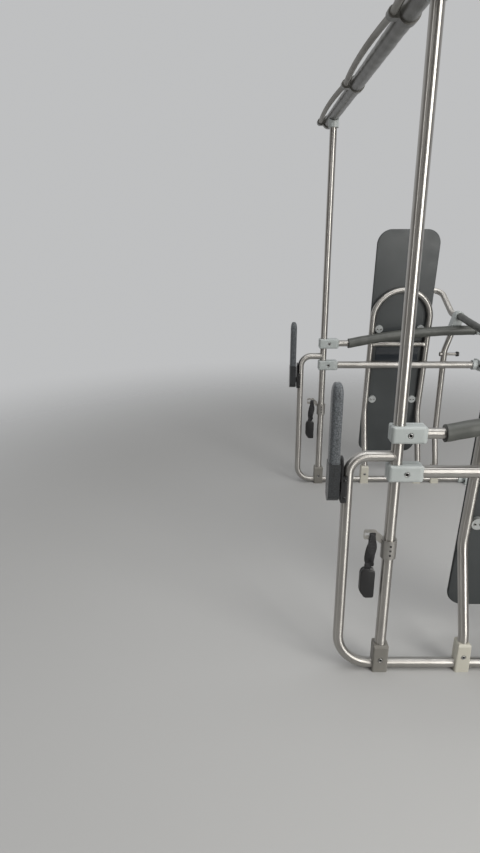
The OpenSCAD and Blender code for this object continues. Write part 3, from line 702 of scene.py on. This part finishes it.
def frame_grips():
    """Foam on both padded cross rails, with their end faces painted near-black as shade."""
    for side in SIDES:
        low, high = node_box(f"{side}_grip")
        radius = (high.y - low.y) / 2
        y = (low.y + high.y) / 2
        long_r = (high.x - low.x) / math.sin(math.radians(GRIP_SLOPE_DEG)) - GRIP_BEND_R
        rows = [(GRIP_SLOPE_DEG, GRIP_BEND_R), (-GRIP_SLOPE_DEG, long_r)]
        points = [Vector((x, y, z)) for x, z in arc_path((low.x, low.z + radius), 0, rows, 24)]
        foam_tube(f"{side}_grip_foam", points, radius, f"{side}_grip")
        bm = bmesh.new()
        for end, way in ((points[0], 1), (points[-1], -1)):
            at = end - Vector((way * END_OUT, 0, 0))
            shaded_end_ring(bm, at, (way, 0, 0), radius + END_OVER, GRIP_BORE_R)
        put(f"{side}_grip_shaded_ends", bm, "end")


def wall_sleeve():
    """Soft sleeve on the rail along the wall."""
    low, high = node_box("wall_grip")
    x = (low.x + high.x) / 2
    long_r = (high.y - low.y) / (2 * math.sin(math.radians(DIP_SLOPE_DEG))) - DIP_BEND_R
    rows = [(-DIP_SLOPE_DEG, DIP_BEND_R), (2 * DIP_SLOPE_DEG, long_r), (-DIP_SLOPE_DEG, DIP_BEND_R)]
    path = arc_path((low.y, high.z - SLEEVE_R), 0, rows, 30)
    foam_tube("wall_sleeve", [(x, y, z) for y, z in path], SLEEVE_R, "wall_grip")


def overhead_foam():
    """Three foam lengths on the overhead rail, between the collars."""
    low, high = node_box("overhead_grips")
    radius = (high.x - low.x) / 2
    x = (low.x + high.x) / 2
    z = (low.z + high.z) / 2
    length = (high.y - low.y - 2 * COLLAR_LENGTH) / 3
    for i in range(3):
        start = low.y + i * (length + COLLAR_LENGTH)
        points = [(x, start, z), (x, start + length, z)]
        foam_tube(f"overhead_foam_{i + 1}", points, radius, "overhead_grips", "overhead")


def clamp_screws():
    """Socket screws in the recesses of the tee and foot clamps, one mesh for each frame, with the shade in
    their sockets painted near-black in a second mesh.
    """
    for side in SIDES:
        tee_low, tee_high = node_box(f"{side}_tee_clamps")
        lower_z = node_middle(f"{side}_plain_rail").z
        upper_z = tee_high.z - (lower_z - tee_low.z)
        foot_y = node_box(f"{side}_foot_clamps")[0].y
        arch_low, arch_high = node_box(f"{side}_arch")
        places = [(TEE_SCREW_X, tee_low.y, z) for z in (lower_z, upper_z)]
        places.append((0.0, foot_y, POLE_SCREW_Z))
        places += [(x, foot_y, LEG_SCREW_Z) for x in (arch_low.x + TUBE_R, arch_high.x - TUBE_R, POST_X)]
        heads = bmesh.new()
        shade_discs = bmesh.new()
        for x, y, z in places:
            front_screw(heads, shade_discs, (x, y + CLAMP_RECESS, z), CLAMP_HEAD)
        put(f"{side}_clamp_screws", heads, "head")
        put(f"{side}_clamp_sockets", shade_discs, "socket")


def flange_screws():
    """Button head screws on the wall flanges."""
    for side in SIDES:
        _, high = node_box(f"{side}_wall_sockets")
        y = node_middle(f"{side}_wall_sockets").y
        bm = bmesh.new()
        for z in (LOW_Z, node_middle(f"{side}_plain_rail").z, high.z - FLANGE_HALF):
            for off in (-FLANGE_SCREW_OFF, FLANGE_SCREW_OFF):
                button_screw(bm, (high.x - FLANGE_T, y + off, z), (-1, 0, 0), FLANGE_HEAD)
        put(f"{side}_flange_screws", bm, "screw")


def fixing_screws():
    """Two socket screws in the face of each board fixing, with the shade in their sockets painted
    near-black.
    """
    fixing_x = ARCH_HALF - FIXING_IN
    for side in SIDES:
        heads = bmesh.new()
        shade_discs = bmesh.new()
        for middle in (fixing_x, -fixing_x):
            for off in (-FIXING_SCREW_OFF, FIXING_SCREW_OFF):
                for up in FIXING_UPS:
                    front_screw(heads, shade_discs, (middle + off, PANEL_FACE - FIXING_T, up), FIXING_HEAD, 24)
        put(f"{side}_fixing_screws", heads, "head", place=at_knee(side))
        put(f"{side}_fixing_sockets", shade_discs, "socket", place=at_knee(side))


def collar_screws():
    """Three small screws down the front of each belt collar."""
    for side in SIDES:
        bm = bmesh.new()
        y = pole_foot(side).y - COLLAR_FACE
        for i in (-1, 0, 1):
            socket_screw(bm, (0, y, BELT_Z + i * COLLAR_PITCH), FRONTWARD, COLLAR_HEAD, 24)
        put(f"{side}_collar_screws", bm, "screw")


def bracket_bolts():
    """Two button heads on the front of each arm bracket, above and below the arm's pin."""
    for side in SIDES:
        bm = bmesh.new()
        low, high = node_box(f"{side}_arm_bracket")
        pivot = joint_at(f"{side}_arm_fold")
        for up in BRACKET_UPS:
            button_screw(bm, (high.x - BRACKET_IN, low.y, pivot.z + up), FRONTWARD, BRACKET_HEAD, 30)
        put(f"{side}_bracket_bolts", bm, "screw")


def cope_bead(bm, at, tube_r, host_r, way):
    """Weld bead where a tube along X meets an upright tube."""
    points = []
    for i in range(36):
        angle = 2 * math.pi * i / 36
        off = tube_r * math.cos(angle)
        out = math.sqrt(max(host_r ** 2 - off ** 2, 0)) + 0.3 * MM + WELD_RIPPLE * math.sin(9 * angle)
        points.append(Vector(at) + Vector((way * out, off, tube_r * math.sin(angle))))
    sweep(bm, points, WELD_R, 8, closed=True)


def weld_beads():
    """Beads where the hoop meets the pole, and where the arch's cross tube meets its legs."""
    for side in SIDES:
        bm = bmesh.new()
        pole_low, pole_high = node_box(f"{side}_pole")
        top_z = node_box(f"{side}_hoop")[1].z - TUBE_R
        cope_bead(bm, (0, pole_foot(side).y, top_z), TUBE_R, (pole_high.y - pole_low.y) / 2, -1)
        put(f"{side}_hoop_weld", bm, "collar")
        bm = bmesh.new()
        for way in (-1, 1):
            cope_bead(bm, (way * ARCH_HALF, 0, 0), CROSS_R, TUBE_R, -way)
        place = at_knee(side) @ Matrix.Translation((0, 0, CROSS_UP))
        put(f"{side}_cross_welds", bm, "collar", place=place)


def round_rectangle(half, low, high, low_r, high_r, steps):
    """Points of X and Z round a rectangle with rounded corners."""
    points = []
    for way, z, r, start in ((1, high - high_r, high_r, 0), (-1, high - high_r, high_r, 90),
                             (-1, low + low_r, low_r, 180), (1, low + low_r, low_r, 270)):
        for i in range(steps + 1):
            angle = math.radians(start + 90 * i / steps)
            points.append((way * (half - r) + r * math.cos(angle), z + r * math.sin(angle)))
    return points


def board_loop(inset):
    """The board's outline as points of X and Z, moved in from its edge."""
    return round_rectangle(BOARD_HALF - inset, BOARD_LOW + inset, BOARD_HIGH - inset, BOARD_LOW_R - inset,
                           BOARD_TOP_R - inset, 12)


def rounded_loop(half, low, high, r, y):
    """Rounded rectangle in X and Z at a depth Y."""
    return [Vector((x, y, z)) for x, z in round_rectangle(half, low, high, r, r, 6)]


def pad_blank():
    """Slim closed blank of the pad, on the panel's back, before it is blown up."""
    back = PANEL_BACK + PAD_BLANK_GAP
    loop = board_loop(PAD_IN)
    bm = bmesh.new()
    loft(bm, [[(x, y, z) for x, z in loop] for y in (back, back + PAD_DEPTH)])
    return linked("pad_blank", mesh_of("pad_blank", bm))


def baked_mesh(piece):
    """The piece's mesh with its modifiers applied, and the piece removed."""
    depsgraph = bpy.context.evaluated_depsgraph_get()
    mesh = bpy.data.meshes.new_from_object(piece.evaluated_get(depsgraph))
    bpy.data.objects.remove(piece)
    return mesh


def puffed_pad():
    """Pad mesh in the backrest's own frame, blown up by a cloth simulation and flat on the panel."""
    piece = pad_blank()
    remesh = piece.modifiers.new("remesh", "REMESH")
    remesh.mode = "VOXEL"
    remesh.voxel_size = PAD_VOXEL
    mesh = baked_mesh(piece)
    rest = [vert.co.copy() for vert in mesh.vertices]
    piece = linked("pad_cloth", mesh)
    cloth = piece.modifiers.new("cloth", "CLOTH")
    cloth.settings.quality = 4
    cloth.settings.use_pressure = True
    cloth.settings.uniform_pressure_force = PAD_PRESSURE
    cloth.settings.tension_stiffness = PAD_STIFFNESS
    cloth.settings.compression_stiffness = PAD_STIFFNESS
    cloth.settings.effector_weights.gravity = 0.0
    scene = bpy.context.scene
    for step in range(1, PAD_STEPS + 1):
        scene.frame_set(step)
    mesh = baked_mesh(piece)
    scene.frame_set(1)
    for vert, start in zip(mesh.vertices, rest):
        move = vert.co - start
        if move.length > PAD_CAP:
            vert.co = start + move * (PAD_CAP / move.length)
        vert.co.y = max(vert.co.y, PANEL_BACK + PAD_GAP)
    return mesh


def relax(mesh, factor, repeat):
    """Smooths a mesh a little."""
    bm = bmesh.new()
    bm.from_mesh(mesh)
    for _ in range(repeat):
        bmesh.ops.smooth_vert(bm, verts=bm.verts, factor=factor, use_axis_x=True, use_axis_y=True,
                              use_axis_z=True)
    bm.to_mesh(mesh)
    bm.free()


def board_pads():
    """Vinyl pad behind each board, with a welt round its edge and two sewn channels across."""
    shape = puffed_pad()
    relax(shape, 0.5, 3)
    for vert in shape.vertices:
        depth = vert.co.y - PANEL_BACK
        for level in CHANNEL_UPS:
            dip = math.exp(-((vert.co.z - level) / CHANNEL_HALF) ** 2)
            vert.co.y -= CHANNEL_DEPTH * depth * dip
        vert.co.y = max(vert.co.y, PANEL_BACK + PAD_GAP)
    for side in SIDES:
        piece = put(f"{side}_board_pad", shape.copy(), "vinyl", place=at_knee(side))
        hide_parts(f"{side}_pad")
        bm = bmesh.new()
        welt = [(x, PANEL_BACK + WELT_BACK, z) for x, z in board_loop(WELT_IN)]
        sweep(bm, welt, WELT_R, 10, closed=True)
        put(f"{side}_pad_welt", bm, "vinyl", place=at_knee(side))


def board_edges():
    """Narrow edge strip round each panel and the blank plate between the arch's legs."""
    for side in SIDES:
        bm = bmesh.new()
        strip = [(x, PANEL_FACE + PANEL_T / 2, z) for x, z in board_loop(EDGE_STRIP_IN)]
        sweep(bm, strip, EDGE_STRIP_R, 12, closed=True)
        put(f"{side}_board_edge", bm, "panel", place=at_knee(side))
        bm = bmesh.new()
        rings = []
        for inset, out in PLATE_STEPS:
            low, high = PLATE_LOW + inset, PLATE_HIGH - inset
            rings.append(rounded_loop(PLATE_HALF - inset, low, high, PLATE_R, PANEL_FACE - out))
        loft(bm, rings)
        put(f"{side}_blank_plate", bm, "plate", smooth=False, place=at_knee(side))


# Arm pad: its rings' heights as shares of its length, how square it is, and where foot and top round over
ARM_LEVELS = (0.0, 0.006, 0.014, 0.03, *(0.06 * i for i in range(1, 14)), 0.84, 0.87, 0.895, 0.917, 0.936,
              0.952, 0.966, 0.978, 0.988, 0.995, 1.0)
ARM_SQUARE = 0.55
ARM_FOOT = 0.014
ARM_TOP = 0.83
ARM_POINTS = 48


def arm_ring(level, centre, half):
    """Points round an arm's pad at a level, from the middle and half size of its box."""
    crown = 1.0 - 0.05 * max(1 - level / ARM_FOOT, 0)
    over = max(level - ARM_TOP, 0) / (1 - ARM_TOP)
    shrink = math.sqrt(max(1 - over ** 2.4, 0.02))
    ring = []
    for i in range(ARM_POINTS):
        angle = 2 * math.pi * i / ARM_POINTS
        cos, sin = math.cos(angle), math.sin(angle)
        x = math.copysign(abs(cos) ** ARM_SQUARE, cos) * half.x * crown * (0.35 + 0.65 * shrink)
        y = math.copysign(abs(sin) ** ARM_SQUARE, sin) * half.y * crown * (0.25 + 0.75 * shrink)
        ring.append((centre.x + x, centre.y + y, centre.z + half.z * (2 * level - 1)))
    return ring


def arm_pads():
    """Moulded soft pad on each arm, crowned and rounded over at the top."""
    for side in SIDES:
        low, high = node_box(f"{side}_arm_pad")
        bm = bmesh.new()
        loft(bm, [arm_ring(level, (low + high) / 2, (high - low) / 2) for level in ARM_LEVELS])
        piece = put(f"{side}_arm_foam", bm, "arm_pad", f"{side}_arm")
        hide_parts(f"{side}_arm_pad")


# Strap stations from the pole's foot: X, Y, Z and half width in millimetres, and the turn in degrees
STRAP_FRONT = [
    (-53, -1.6, 336, 10.5, 0), (-53, -2.0, 349, 10.5, 8), (-50.5, -4.0, 358, 12.5, -28),
    (-52.5, -3.0, 368, 14, -34), (-51.5, -3.5, 386, 14, -18), (-49.5, -3.6, 404, 13.5, -6),
    (-48, -3.8, 420, 12, 8), (-47, -4.0, 434, 9.5, 12), (-47, -3.8, 445, 8, 4),
]
STRAP_BACK = [
    (-47, 3.8, 445, 8, 2), (-46.5, 4.2, 434, 9.5, -10), (-44.5, 5.5, 420, 11.5, -22),
    (-43.5, 6.5, 405, 12.5, -32), (-46, 5.0, 388, 12, -20), (-49.5, 3.2, 372, 11, 0),
    (-51.5, 2.4, 360, 10.5, 14), (-53, 2.0, 349, 10.5, 4), (-53, 1.6, 336, 10.5, 0),
]
STRAP_OVER = [(-47, 3.8 * math.cos(math.pi * i / 6), 445 + 6.5 * math.sin(math.pi * i / 6), 8, 3)
              for i in range(5, 0, -1)]
STRAP_HALF_T = 0.8 * MM
STRAP_POINTS = 9
STITCH_ROWS = range(22, 36, 3)
STITCH_LIFT = 1.15 * MM
STITCH_R = 0.4 * MM


def smooth_rows(rows, steps):
    """Catmull-Rom curve through rows of numbers."""
    rows = [Vector(row) for row in rows]
    padded = [rows[0]] + rows + [rows[-1]]
    result = []
    for a, b, c, d in zip(padded, padded[1:], padded[2:], padded[3:]):
        for i in range(steps):
            t = i / steps
            result.append(0.5 * (2 * b + (c - a) * t + (2 * a - 5 * b + 4 * c - d) * t ** 2
                                 + (3 * b - a - 3 * c + d) * t ** 3))
    result.append(rows[-1])
    return result


def strap_point(rows, i, across, lift):
    """Point of the strap at a row, across its width from -1 to 1 and off its face."""
    x, y, z, half_w, turn = rows[i]
    before, after = rows[max(i - 1, 0)], rows[min(i + 1, len(rows) - 1)]
    along = (Vector(after[:3]) - Vector(before[:3])).normalized()
    side = Vector((math.cos(math.radians(turn)), math.sin(math.radians(turn)), 0))
    side = (side - along * side.dot(along)).normalized()
    wave = 0.7 * math.sin(2.6 * across + 0.35 * i) + 0.35 * math.sin(6 * across - 0.5 * i)
    return MM * (Vector((x, y, z)) + side * across * half_w) + side.cross(along) * (lift + wave * MM)


def belt_straps():
    """Webbing through the anchor plate's slot and down to the buckle again, creased and sewn to itself."""
    rows = smooth_rows(STRAP_FRONT + STRAP_OVER + STRAP_BACK, 5)
    spread = [-1 + 2 * j / (STRAP_POINTS - 1) for j in range(STRAP_POINTS)]
    for side in SIDES:
        place = Matrix.Translation(pole_foot(side))
        rings = []
        for i in range(len(rows)):
            ring = [strap_point(rows, i, across, STRAP_HALF_T) for across in spread]
            ring += [strap_point(rows, i, across, -STRAP_HALF_T) for across in reversed(spread)]
            rings.append(ring)
        bm = bmesh.new()
        loft(bm, rings)
        piece = put(f"{side}_belt_strap", bm, "webbing", place=place)
        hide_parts(f"{side}_belt_web")
        bm = bmesh.new()
        for i in STITCH_ROWS:
            for j in range(8):
                across = -0.8 + 0.2 * j
                ends = [strap_point(rows, i, across + shift, STITCH_LIFT) for shift in (0, 0.12)]
                sweep(bm, ends, STITCH_R, 6)
        put(f"{side}_belt_stitches", bm, "thread", place=place)


def cut_corners(points, rounds, most):
    """Rounds an outline by cutting its corners again and again, at most so far along each edge."""
    for _ in range(rounds):
        cut = []
        for start, end in zip(points, points[1:] + points[:1]):
            share = min(0.25, most / (end - start).length)
            cut.append(start.lerp(end, share))
            cut.append(start.lerp(end, 1 - share))
        points = cut
        most /= 2
    return points


# Buckle, in millimetres: its outline in X and Z, and the inset of that outline at each Y
BUCKLE_OUTLINE = ((-21, 22), (-21, 80), (-16, 91), (-6, 95), (2, 95), (5, 89), (18, 88), (21, 83), (21, 3),
                  (18, 0), (-6, 0))
BUCKLE_SHELLS = ((3.0, -10), (1.2, -9.4), (0.3, -8), (0, -6), (0, -0.5), (0.7, -0.3), (0.7, 0.3), (0, 0.5),
                 (0, 6), (0.3, 8), (1.2, 9.4), (3.0, 10))
BUCKLE_HALF_W = 21
BUCKLE_MIDDLE_Z = 46
BUCKLE_HALF_H = 47
BUTTON_X = 11
BUTTON_HALF_W = 6.5
BUTTON_LOW = 84
BUTTON_HIGH = 93
BUTTON_STEPS = ((0, -7), (0, 5), (1.2, 6.4))


def buckles():
    """Buckle body with a cut lower corner, a shoulder for its release button, and a seam round it."""
    loop = cut_corners([Vector(point) for point in BUCKLE_OUTLINE], 3, 3.0)
    for side in SIDES:
        middle = node_middle(f"{side}_buckle")
        place = Matrix.Translation((middle.x, middle.y, node_box(f"{side}_buckle")[0].z))
        rings = []
        for inset, y in BUCKLE_SHELLS:
            in_x = 1 - inset / BUCKLE_HALF_W
            in_z = 1 - inset / BUCKLE_HALF_H
            rings.append([MM * Vector((x * in_x, y, BUCKLE_MIDDLE_Z + (z - BUCKLE_MIDDLE_Z) * in_z))
                          for x, z in loop])
        bm = bmesh.new()
        loft(bm, rings)
        body = put(f"{side}_buckle_body", bm, "black", place=place)
        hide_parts(f"{side}_buckle")
        bm = bmesh.new()
        rings = []
        for inset, y in BUTTON_STEPS:
            half, high = MM * (BUTTON_HALF_W - inset), MM * (BUTTON_HIGH - inset)
            flat = rounded_loop(half, MM * BUTTON_LOW, high, 3 * MM, MM * y)
            rings.append([point + Vector((MM * BUTTON_X, 0, 0)) for point in flat])
        loft(bm, rings)
        put(f"{side}_buckle_button", bm, "button", place=place)


# Rubber cap on a stay, in millimetres: how far it covers the stay's end, and its radius along its length
BUFFER_BACK = 13
BUFFER_PROFILE = ((8, 0), (11.8, 0), (12.4, 1.5), (12.2, 9), (11.0, 12.5), (8.0, 13.6), (4.0, 13.9))


def stay_buffers():
    """Rubber cap on the end of each stay."""
    for side in SIDES:
        _, high = node_box(f"{side}_post_stay")
        middle = node_middle(f"{side}_post_stay")
        place = facing((high.x - BUFFER_BACK * MM, middle.y, middle.z), (1, 0, 0))
        bm = bmesh.new()
        loft(bm, [circle_ring(place, r * MM, along * MM, 36) for r, along in BUFFER_PROFILE])
        put(f"{side}_stay_buffer", bm, "rubber")


def make_world():
    """Studio that is pale behind the object and darker on the camera's side, also in reflections."""
    world = bpy.data.worlds.new("studio")
    bpy.context.scene.world = world
    world.use_nodes = True
    tree = world.node_tree
    coords = tree.nodes.new("ShaderNodeTexCoord")
    x, y, _ = separate(tree, coords.outputs["Generated"])
    lean = math_node(tree, "ADD", y, math_node(tree, "MULTIPLY", x, BACKDROP_LEAN))
    ramp = tree.nodes.new("ShaderNodeValToRGB")
    ramp.color_ramp.interpolation = "EASE"
    ramp.color_ramp.elements[0].color = (*BACKDROP_DARK, 1)
    ramp.color_ramp.elements[1].color = (*BACKDROP_PALE, 1)
    tree.links.new(remap(tree, lean, 0.0, 1.0, *BACKDROP_SPAN), ramp.inputs["Fac"])
    tree.links.new(ramp.outputs["Color"], tree.nodes["Background"].inputs["Color"])


def make_floor():
    """Plain pale floor that keeps the object's shadow and fades out into the studio far away."""
    mat, tree, shader, _ = new_material("floor_paint")
    shader.inputs["Base Color"].default_value = (*FLOOR_COLOUR, 1)
    shader.inputs["Roughness"].default_value = FLOOR_ROUGHNESS
    surface = tree.nodes.new("ShaderNodeNewGeometry")
    reach = tree.nodes.new("ShaderNodeVectorMath")
    reach.operation = "DISTANCE"
    tree.links.new(surface.outputs["Position"], reach.inputs[0])
    reach.inputs[1].default_value = MIDDLE
    fade = tree.nodes.new("ShaderNodeMapRange")
    fade.interpolation_type = "SMOOTHSTEP"
    fade.inputs["From Min"].default_value, fade.inputs["From Max"].default_value = FLOOR_FADE
    tree.links.new(reach.outputs["Value"], fade.inputs["Value"])
    clear = tree.nodes.new("ShaderNodeBsdfTransparent")
    mix = tree.nodes.new("ShaderNodeMixShader")
    tree.links.new(fade.outputs["Result"], mix.inputs["Fac"])
    tree.links.new(shader.outputs["BSDF"], mix.inputs[1])
    tree.links.new(clear.outputs["BSDF"], mix.inputs[2])
    tree.links.new(mix.outputs["Shader"], tree.nodes["Material Output"].inputs["Surface"])
    bm = bmesh.new()
    bmesh.ops.create_circle(bm, cap_ends=True, segments=96, radius=FLOOR_RADIUS,
                            matrix=Matrix.Translation(MIDDLE))
    mesh = bpy.data.meshes.new("floor")
    bm.to_mesh(mesh)
    bm.free()
    mesh.materials.append(mat)
    linked("floor", mesh)


def make_camera():
    """The photograph's view."""
    data = bpy.data.cameras.new("camera")
    data.sensor_fit = "VERTICAL"
    data.sensor_height = SENSOR_MM
    data.sensor_width = SENSOR_MM
    data.lens = FOCAL_PX / IMAGE_HEIGHT_PX * SENSOR_MM
    camera = linked("camera", data)
    camera.location = CAMERA_AT
    camera.rotation_euler = (math.radians(90 - CAMERA_DOWN_DEG), 0, 0)
    bpy.context.scene.camera = camera


def make_lights():
    """Soft lamps: a tall panel at the window side, one above and a weak strip on the aisle side."""
    for name, at, size, power, colour in LAMPS:
        data = bpy.data.lights.new(name, "AREA")
        data.shape = "RECTANGLE"
        data.size, data.size_y = size
        data.energy = power
        data.color = colour
        light = linked(name, data)
        light.location = at
        light.rotation_euler = (Vector(LAMPS_FACE) - Vector(at)).to_track_quat("-Z", "Y").to_euler()
        light.visible_camera = False


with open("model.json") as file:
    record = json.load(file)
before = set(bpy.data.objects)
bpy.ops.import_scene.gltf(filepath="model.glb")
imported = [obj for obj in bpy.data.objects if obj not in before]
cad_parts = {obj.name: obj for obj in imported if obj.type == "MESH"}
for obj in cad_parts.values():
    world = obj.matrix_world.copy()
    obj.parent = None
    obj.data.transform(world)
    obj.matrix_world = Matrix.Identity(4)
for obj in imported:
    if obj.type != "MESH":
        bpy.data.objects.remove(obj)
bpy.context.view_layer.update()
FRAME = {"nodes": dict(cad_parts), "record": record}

bpy.context.scene.view_settings.view_transform = "Standard"
make_camera()
make_world()
make_lights()
make_floor()
MATERIALS = make_materials()
dress_nodes()
frame_grips()
wall_sleeve()
overhead_foam()
clamp_screws()
flange_screws()
fixing_screws()
collar_screws()
bracket_bolts()
weld_beads()
board_pads()
board_edges()
arm_pads()
belt_straps()
buckles()
stay_buffers()
